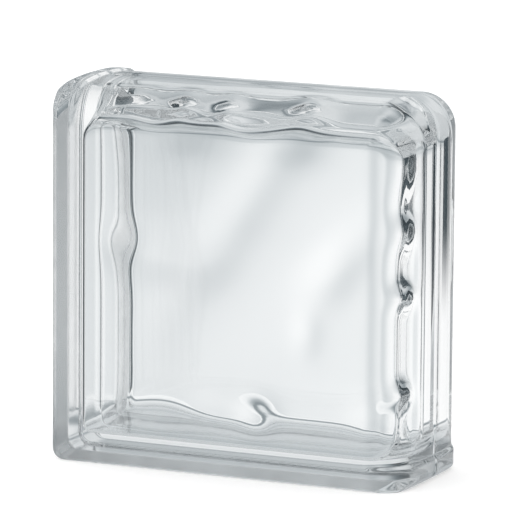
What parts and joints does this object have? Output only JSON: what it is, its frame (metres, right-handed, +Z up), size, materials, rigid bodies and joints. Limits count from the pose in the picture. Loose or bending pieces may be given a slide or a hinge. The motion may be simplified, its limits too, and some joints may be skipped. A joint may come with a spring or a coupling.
{
  "type": "glass block",
  "caption": "Hollow wave-pattern glass block with crowned finished top and right sides, a round corner between them, and mortar channels along its left side and base.",
  "frame": {"origin": "middle of the base, on the seam plane, at the level of the bottom flanges", "axes": "+X towards the finished right side, +Y through the thickness from the front face to the back face, +Z up towards the finished top"},
  "size_m": [0.19, 0.08, 0.19],
  "materials": {
    "glass": "clear pressed soda-lime glass, fire-polished"
  },
  "bodies": {
    "root": {"front_shell": "glass", "back_shell": "glass"}
  },
  "joints": []
}
